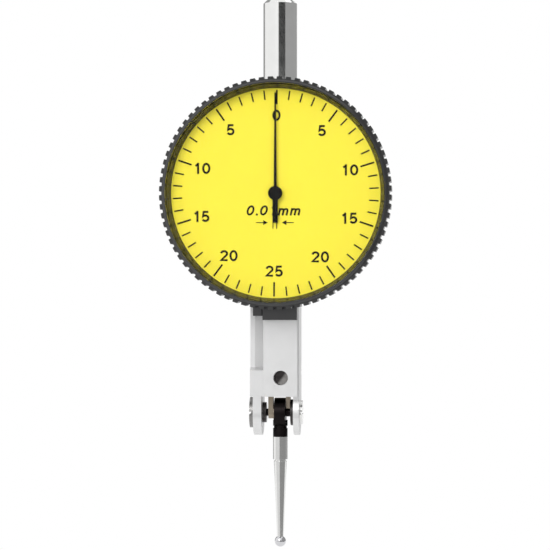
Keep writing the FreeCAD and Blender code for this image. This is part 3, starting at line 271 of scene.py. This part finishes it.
def lever_brass():
    """Dull bronze: the lever and its friction washer."""
    return metal("lever_brass", (0.33, 0.28, 0.22), (0.43, 0.37, 0.29), rough=0.42, grain="Z")


def wheel_brass():
    """Turned brass: the crown wheel, the bearings and the hairspring's holders."""
    return metal("wheel_brass", (0.66, 0.50, 0.22), (0.76, 0.60, 0.30), rough=0.24, grain="Y")


def spring_bronze():
    """Rolled bronze: the hairspring."""
    return metal("spring_bronze", (0.55, 0.38, 0.20), (0.65, 0.46, 0.26), rough=0.28, grain="Y")


def grey_steel():
    """Greyed steel: the left pivot screw."""
    return metal("grey_steel", (0.24, 0.235, 0.23), (0.34, 0.335, 0.33), rough=0.34, grain="Y")


def dark_steel():
    """Dark steel: the two pivot bushes."""
    return metal("dark_steel", (0.05, 0.046, 0.046), (0.08, 0.074, 0.074), rough=0.34, grain="Y")


# The lower right, where the screw's end is painted lighter as its lit side (painted light)
PAINTED_LIT_SIDE = (0.8, 0.0, -0.6)
PAINTED_LIT_FADE = 0.4 * MM
BLACKENED = (0.05, 0.045, 0.045)
# The grey of the painted lit side
PAINTED_LIT_GREY = (0.33, 0.32, 0.31)
SCRATCH_SCALE = 3000.0
SCRATCH_DETAIL = 3.0
SCRATCH_FADE = 0.75
SCRATCH_SMOOTH = 0.3
SCRATCH_ROUGH = 0.45


def worn_steel(screw):
    """Blackened steel, its lower right painted lighter as the lit side (painted light), broken up by
    scratches: the limit screw.
    """
    # These two corners of a bounding box lie opposite each other
    first, last = Vector(screw.bound_box[0]), Vector(screw.bound_box[6])
    middle = (first + last) / 2
    shader = Shader("worn_steel")
    bsdf = shader.principled(Metallic=1.0)
    away = shader.add("ShaderNodeVectorMath", operation="SUBTRACT")
    away.inputs[1].default_value = middle
    shader.link(shader.position(), away.inputs[0])
    along = shader.add("ShaderNodeVectorMath", operation="DOT_PRODUCT")
    along.inputs[1].default_value = PAINTED_LIT_SIDE
    shader.link(away.outputs["Vector"], along.inputs[0])
    # Painted light: towards the lower right the end is drawn lit, elsewhere it stays blackened
    painted_lit = shader.spread(along.outputs["Value"], 0.0, 1.0, start=0.0, end=PAINTED_LIT_FADE)
    scratches = shader.noise(even(SCRATCH_SCALE), SCRATCH_DETAIL)
    painted_light_share = shader.calculate("MULTIPLY", painted_lit, shader.spread(scratches, SCRATCH_FADE, 1.0))
    shader.link(shader.blend(painted_light_share, BLACKENED, PAINTED_LIT_GREY), bsdf.inputs["Base Color"])
    shader.link(shader.spread(scratches, SCRATCH_SMOOTH, SCRATCH_ROUGH), bsdf.inputs["Roughness"])
    shader.link(shader.rounded(METAL_EDGE), bsdf.inputs["Normal"])
    return shader.material


# Enamels, ink and crystal

PEEL_SCALE = 5200.0
PEEL_DETAIL = 2.0
CLOUD_SCALE = 300.0
CLOUD_DETAIL = 4.0
CLOUD_SHARE = 0.15
ENAMEL_IOR = 1.5
THIN_EDGE = 0.01 * MM


def enamel(name, dark, light, rough, gloss, edge, depth=1.2 * MICRON):
    """A painted surface with a fine orange-peel skin."""
    shader = Shader(name)
    bsdf = shader.principled(IOR=ENAMEL_IOR, Specular_IOR_Level=gloss)
    peel = shader.noise(even(PEEL_SCALE), PEEL_DETAIL)
    clouds = shader.noise(even(CLOUD_SCALE), CLOUD_DETAIL)
    shader.link(shader.blend(clouds, dark, light), bsdf.inputs["Base Color"])
    roughness = shader.spread(clouds, rough * (1 - CLOUD_SHARE), rough * (1 + CLOUD_SHARE))
    shader.link(roughness, bsdf.inputs["Roughness"])
    shader.link(shader.bump(peel, depth, edge), bsdf.inputs["Normal"])
    return shader.material


def black_bezel():
    """Semi-gloss black: the knurled ring."""
    return enamel("black_bezel", (0.010, 0.010, 0.010), (0.022, 0.022, 0.022), rough=0.24, gloss=0.65,
                  edge=0.06 * MM, depth=0.2 * MICRON)


def black_case():
    """Black enamel: the case, whose edges look well rounded."""
    return enamel("black_case", (0.014, 0.014, 0.015), (0.03, 0.03, 0.032), rough=0.3, gloss=0.75,
                  edge=0.3 * MM)


def yellow_dial():
    """Matt yellow enamel: the dial plate."""
    return enamel("yellow_dial", (0.88, 0.75, 0.032), (0.92, 0.80, 0.05), rough=0.6, gloss=0.3,
                  edge=THIN_EDGE)


def black_pointer():
    """Matt black: the needle."""
    return enamel("black_pointer", (0.002, 0.002, 0.002), (0.006, 0.006, 0.006), rough=0.5, gloss=0.05,
                  edge=THIN_EDGE)


def dial_ink():
    """Matt ink: the printed scale."""
    return enamel("dial_ink", (0.008, 0.008, 0.005), (0.02, 0.018, 0.010), rough=0.6, gloss=0.05,
                  edge=THIN_EDGE)


# Lower than that of real glass, so that no reflection greys the ink
CRYSTAL_IOR = 1.15


def clear_crystal():
    """A clear disc that lets lamp light through without darkening what is behind it."""
    shader = Shader("clear_crystal")
    glass = shader.principled(Roughness=0.0, IOR=CRYSTAL_IOR, Transmission_Weight=1.0, Base_Color=WHITE)
    shadow = shader.add("ShaderNodeLightPath").outputs["Is Shadow Ray"]
    passing = shader.add("ShaderNodeBsdfTransparent")
    shader.surface(shader.mix(shadow, glass.outputs["BSDF"], passing.outputs["BSDF"]))
    return shader.material


# The look of each slot, and of the pieces that differ from it

MATERIALS = {
    "bright_steel": bright_steel(),
    "satin_steel": satin_steel(),
    "black_steel": black_steel(),
    "hard_metal": hard_metal(),
    "lever_brass": lever_brass(),
    "wheel_brass": wheel_brass(),
    "spring_bronze": spring_bronze(),
    "black_bezel": black_bezel(),
    "black_case": black_case(),
    "yellow_dial": yellow_dial(),
    "black_pointer": black_pointer(),
    "clear_crystal": clear_crystal(),
}
INK = dial_ink()
BUSH_LOOK = dark_steel()

OWN_LOOKS = {
    "pivot_screw_left": grey_steel(),
    "pivot_bush_left": BUSH_LOOK,
    "pivot_bush_right": BUSH_LOOK,
    # The limit screw, with a painted lit side
    "limit_screw": worn_steel(nodes["limit_screw"]),
}
SHARP_ANGLE = math.radians(35)


def finish_nodes():
    """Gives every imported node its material, with smooth round faces and sharp corners."""
    for part in frame["record"]["subparts"]:
        thing = nodes[part["node"]]
        thing.data.materials.clear()
        look = OWN_LOOKS.get(part["node"], MATERIALS[part["material_slot"]])
        thing.data.materials.append(look)
        thing.data.shade_smooth()
        thing.data.set_sharp_from_angle(angle=SHARP_ANGLE)


# Strokes of the printed scale

INK_LIFT = 0.01 * MM
INK_DEPTH = 0.01 * MM
MITRE_LIMIT = 0.5


def turned(point, angle):
    """A point turned clockwise about the origin."""
    cos, sin = math.cos(angle), math.sin(angle)
    return Vector((point[0] * cos + point[1] * sin, point[1] * cos - point[0] * sin))


def left_of(heading):
    """A heading turned a quarter to the left."""
    return Vector((-heading.y, heading.x))


def strip_edges(points, widths, closed):
    """The two edges of a drawn line, mitred at its corners."""
    headings = [(after - point).normalized() for point, after in zip(points, points[1:] + points[:1])]
    if not closed:
        headings[-1] = headings[-2]
    left, right = [], []
    for number, point in enumerate(points):
        leaving = headings[number]
        arriving = headings[number - 1] if closed or number > 0 else leaving
        across = left_of((arriving + leaving).normalized())
        stretch = 1 / max(MITRE_LIMIT, across.dot(left_of(arriving)))
        half = across * stretch * widths[number] / 2
        left.append(point + half)
        right.append(point - half)
    return left, right


class Print:
    """Ink on the dial, drawn as thin flat strokes."""

    def __init__(self, name):
        self.name = name
        self.mesh = bmesh.new()

    def corner(self, point, lift):
        return self.mesh.verts.new((point.x, DIAL_FACE_Y - INK_LIFT - lift, DIAL_CENTRE.z + point.y))

    def section(self, left, right):
        """The four corners of a stroke's cross-section."""
        return (
            self.corner(left, 0),
            self.corner(left, INK_DEPTH),
            self.corner(right, INK_DEPTH),
            self.corner(right, 0),
        )

    def stroke(self, points, width, closed=False):
        """Draws a line through points from the dial's centre, with one width or one for each point."""
        points = [Vector(point) for point in points]
        widths = width if isinstance(width, list) else [width] * len(points)
        sections = [self.section(*edges) for edges in zip(*strip_edges(points, widths, closed))]
        spans = list(zip(sections, sections[1:]))
        if closed:
            spans.append((sections[-1], sections[0]))
        for here, there in spans:
            for side in range(4):
                other = (side + 1) % 4
                self.mesh.faces.new((here[side], here[other], there[other], there[side]))
        if not closed:
            self.mesh.faces.new(sections[0])
            self.mesh.faces.new(sections[-1])

    def finish(self):
        bmesh.ops.recalc_face_normals(self.mesh, faces=self.mesh.faces)
        piece = add_mesh(self.name, self.mesh, INK)
        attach(piece, "bezel")


# Figures, drawn in units of their own height

# The pen's width, where the middle of its line runs at the foot and at the top,
# the height of the small m, and how much wider than drawn all figures are
PEN = 0.19
LOW = PEN / 2
HIGH = 1 - PEN / 2
MIDDLE = 0.5
SMALL = 0.72
WIDTH = 1.1
BOW_STEPS = 12
RING_STEPS = 26
ARCH_HALF = 0.175
ARCH_RISE = 0.46


def bow(across, up, half_width, half_height, start, end, steps=BOW_STEPS):
    """Points on part of an ellipse. Angles are in degrees, from the right and anticlockwise."""
    points = []
    for number in range(steps + 1):
        angle = math.radians(start + (end - start) * number / steps)
        points.append((across + half_width * math.cos(angle), up + half_height * math.sin(angle)))
    return points


def ring(across, up, half_width, half_height):
    """Points all the way round an ellipse, for a closed stroke."""
    return bow(across, up, half_width, half_height, 90, 450, RING_STEPS)[:-1]


def arch(start):
    """One arch of the small m, with the leg at its right."""
    top = bow(start + ARCH_HALF, ARCH_RISE, ARCH_HALF, SMALL - LOW - ARCH_RISE, 180, 0)
    return top + [(start + 2 * ARCH_HALF, 0.0)]


# For each figure its strokes, and the step to the next figure
FIGURES = {
    "0": ([ring(0.33, MIDDLE, 0.25, MIDDLE - LOW)], 0.76),
    "1": ([[(0.36, 0.0), (0.36, 1.0)], [(0.36, 0.86), (0.14, 0.72)]], 0.70),
    "2": ([bow(0.32, 0.68, 0.24, HIGH - 0.68, 172, -32) + [(0.08, LOW), (0.60, LOW)]], 0.76),
    "5": ([
        [(0.56, HIGH), (0.17, HIGH), (0.11, 0.49)] + bow(0.31, 0.34, 0.25, 0.34 - LOW, 128, -152),
    ], 0.76),
    ".": ([[(0.12, 0.0), (0.12, PEN)]], 0.24),
    "m": ([[(0.09, 0.0), (0.09, SMALL)], arch(0.09), arch(0.44)], 0.97),
}
CLOSED_FIGURES = "0"


def write_figures(ink, text, height, middle, slant=0.0, spacing=0.0):
    """Writes figures in one row, centred on a point of the dial."""
    steps = [FIGURES[letter][1] + spacing for letter in text]
    start = -(sum(steps) - spacing - PEN / 2) / 2
    for letter, step in zip(text, steps):
        for stroke in FIGURES[letter][0]:
            points = [
                (
                    middle[0] + ((start + u) * WIDTH + slant * (v - MIDDLE)) * height,
                    middle[1] + (v - MIDDLE) * height,
                )
                for u, v in stroke
            ]
            ink.stroke(points, PEN * height, closed=letter in CLOSED_FIGURES)
        start += step


# The printed scale, which sits turned a little clockwise

DIAL_TURN = math.radians(0.8)
DIVISIONS = 50
HALF_SCALE = DIVISIONS // 2
LABELLED = 5
DIVISION_ANGLE = 2 * math.pi / DIVISIONS
TICK_OUTER = 17.75 * MM
LONG_TICK = (15.3 * MM, 0.30 * MM)
SHORT_TICK = (16.15 * MM, 0.25 * MM)
NUMERAL_RADIUS = 13.4 * MM
NUMERAL_HEIGHT = 1.92 * MM


def print_ticks():
    ink = Print("ticks")
    for number in range(DIVISIONS):
        inner, width = LONG_TICK if number % LABELLED == 0 else SHORT_TICK
        angle = number * DIVISION_ANGLE + DIAL_TURN
        ink.stroke([turned((0, inner), angle), turned((0, TICK_OUTER), angle)], width)
    ink.finish()


def print_numerals():
    """The balanced scale: the same numbers down both sides."""
    ink = Print("numerals")
    for value in range(0, HALF_SCALE + 1, LABELLED):
        sides = (1, -1) if 0 < value < HALF_SCALE else (1,)
        for side in sides:
            middle = turned((0, NUMERAL_RADIUS), side * value * DIVISION_ANGLE + DIAL_TURN)
            write_figures(ink, str(value), NUMERAL_HEIGHT, middle)
    ink.finish()


UNIT_HEIGHT = 1.75 * MM
UNIT_MIDDLE = (-0.3 * MM, -2.95 * MM)
UNIT_SLANT = 0.24
UNIT_SPACING = 0.1
ARROW_DROP = -5.05 * MM
ARROW_MIDDLE = -0.1 * MM
ARROW_GAP = 1.25 * MM
ARROW_HEAD_LENGTH = 0.75 * MM
ARROW_HEAD_WIDTH = 0.85 * MM
ARROW_REACH = 3.25 * MM
ARROW_LINE = 0.16 * MM
ARROW_TIP = ARROW_LINE / 4
MARK_HALF_GAP = 0.32 * MM
MARK_FOOT = -6.1 * MM


def print_unit_mark():
    """The value of one division, with two arrows that point at one division below it."""
    ink = Print("unit_mark")
    write_figures(ink, "0.01mm", UNIT_HEIGHT, UNIT_MIDDLE, UNIT_SLANT, UNIT_SPACING)
    for side in (-1, 1):
        tip = (ARROW_MIDDLE + side * ARROW_GAP, ARROW_DROP)
        neck = (tip[0] + side * ARROW_HEAD_LENGTH, ARROW_DROP)
        end = (ARROW_MIDDLE + side * ARROW_REACH, ARROW_DROP)
        ink.stroke([tip, neck], [ARROW_TIP, ARROW_HEAD_WIDTH])
        ink.stroke([neck, end], ARROW_LINE)
        across = ARROW_MIDDLE + side * MARK_HALF_GAP
        ink.stroke([(across, ARROW_DROP), (across, MARK_FOOT)], ARROW_LINE)
    ink.finish()


# Studio

AMBIENT = 0.85
FLOOR_SIZE = 6.0
FLOOR_DROP = 30 * MM
FLOOR_GREY = (0.9, 0.9, 0.9, 1.0)
FLOOR_NEAR = 0.03
FLOOR_FAR = 0.2
FLOOR_NEAR_GLOW = 0.3
STUDIO_CENTRE = Vector((0, 0, DIAL_CENTRE.z))
CARD_STEPS = 12
LAMP_DISTANCE = 0.8


def make_world():
    """White where it is seen, and a little darker as light on surfaces."""
    world = bpy.data.worlds.new("studio")
    scene.world = world
    tree = NodeTree(world)
    strength = tree.spread(tree.seen(), AMBIENT, 1.0, start=0.0, end=1.0)
    background = tree.add("ShaderNodeBackground")
    background.inputs["Color"].default_value = WHITE
    tree.link(strength, background.inputs["Strength"])
    output = tree.add("ShaderNodeOutputWorld")
    tree.link(background.outputs["Background"], output.inputs["Surface"])


def make_floor():
    """A pale floor that keeps the object's shadow and turns white farther away."""
    bpy.ops.mesh.primitive_plane_add(size=FLOOR_SIZE, location=(0, 0, PART_BOTTOM - FLOOR_DROP))
    floor = bpy.context.object
    floor.name = "floor"
    shader = Shader("floor_white")
    diffuse = shader.add("ShaderNodeBsdfDiffuse")
    diffuse.inputs["Color"].default_value = FLOOR_GREY
    far = shader.add("ShaderNodeVectorMath", operation="LENGTH")
    shader.link(shader.position(), far.inputs[0])
    share = shader.spread(far.outputs["Value"], FLOOR_NEAR_GLOW, 1.0, start=FLOOR_NEAR, end=FLOOR_FAR)
    glow_share = shader.calculate("MULTIPLY", shader.seen(), share)
    shader.surface(shader.mix(glow_share, diffuse.outputs["BSDF"], shader.glow(1.0)))
    floor.data.materials.append(shader.material)


def direction(azimuth, elevation):
    """A unit vector away from the part. Azimuth 0 is the front, and grows to the right."""
    turn, rise = math.radians(azimuth), math.radians(elevation)
    return Vector((math.sin(turn) * math.cos(rise), -math.cos(turn) * math.cos(rise), math.sin(rise)))


def aim(thing, target, azimuth, elevation, distance):
    """Places a lamp or a camera away from a target and turns it towards it."""
    away = direction(azimuth, elevation)
    thing.location = target + away * distance
    thing.rotation_euler = away.to_track_quat("Z", "Y").to_euler()


def make_card(name, azimuths, elevations, grey, distance):
    """A curved grey card that only reflections see, between two azimuths and two elevations."""
    mesh = bmesh.new()
    rows = []
    for elevation in elevations:
        row = []
        for number in range(CARD_STEPS + 1):
            azimuth = azimuths[0] + (azimuths[1] - azimuths[0]) * number / CARD_STEPS
            row.append(mesh.verts.new(STUDIO_CENTRE + direction(azimuth, elevation) * distance))
        rows.append(row)
    for number in range(CARD_STEPS):
        mesh.faces.new((rows[0][number], rows[0][number + 1], rows[1][number + 1], rows[1][number]))
    shader = Shader(name + "_grey")
    shader.surface(shader.glow(grey))
    card = add_mesh(name, mesh, shader.material)
    card.visible_camera = False
    card.visible_diffuse = False
    card.visible_shadow = False
    card.visible_transmission = False


def make_lamp(name, azimuth, elevation, size, brightness):
    """A square soft lamp aimed at the dial, whose brightness is what a mirror would show."""
    data = bpy.data.lights.new(name, "AREA")
    data.shape = "SQUARE"
    data.size = size
    data.energy = brightness * math.pi * size * size
    aim(add_object(name, data), STUDIO_CENTRE, azimuth, elevation, LAMP_DISTANCE)


def make_cards():
    # The dark band on the stem
    make_card("dark_card", azimuths=(-8.0, 38.0), elevations=(6.5, 16.0), grey=0.02, distance=0.35)
    # The darker and the paler half of the stylus
    make_card("low_card", azimuths=(-8.0, 100.0), elevations=(-37.0, -15.0), grey=0.3, distance=0.15)
    make_card("pale_card", azimuths=(-75.0, -8.0), elevations=(-37.0, -15.0), grey=0.76, distance=0.15)
    # The grey right halves of round pieces, and the thin lines along their left edges
    make_card("side_card", azimuths=(38.0, 160.0), elevations=(-35.0, 50.0), grey=0.38, distance=0.5)
    make_card("edge_card", azimuths=(-180.0, -125.0), elevations=(-35.0, 50.0), grey=0.35, distance=0.5)


def make_lamps():
    make_lamp("key_lamp", azimuth=-20.0, elevation=26.0, size=0.3, brightness=5.5)
    make_lamp("back_lamp", azimuth=150.0, elevation=55.0, size=0.4, brightness=0.8)


# Camera, set so that the part lies where the photo shows it

CAMERA_AZIMUTH = 4.25
CAMERA_ELEVATION = 0.0
CAMERA_DISTANCE = 380 * MM
CAMERA_TARGET = Vector((-0.58, -5.0, -31.56)) * MM
CAMERA_CLIP_START = 0.01
SENSOR_WIDTH = 36.0
PHOTO_SIZE = 550
FOCAL_PIXELS = 2170.5


def make_camera():
    data = bpy.data.cameras.new("camera")
    data.sensor_width = SENSOR_WIDTH
    data.lens = FOCAL_PIXELS * SENSOR_WIDTH / PHOTO_SIZE
    data.clip_start = CAMERA_CLIP_START
    camera = add_object("camera", data)
    aim(camera, CAMERA_TARGET, CAMERA_AZIMUTH, CAMERA_ELEVATION, CAMERA_DISTANCE)
    scene.camera = camera


finish_nodes()
print_ticks()
print_numerals()
print_unit_mark()
make_world()
make_floor()
make_cards()
make_lamps()
make_camera()
scene.view_settings.view_transform = "Standard"
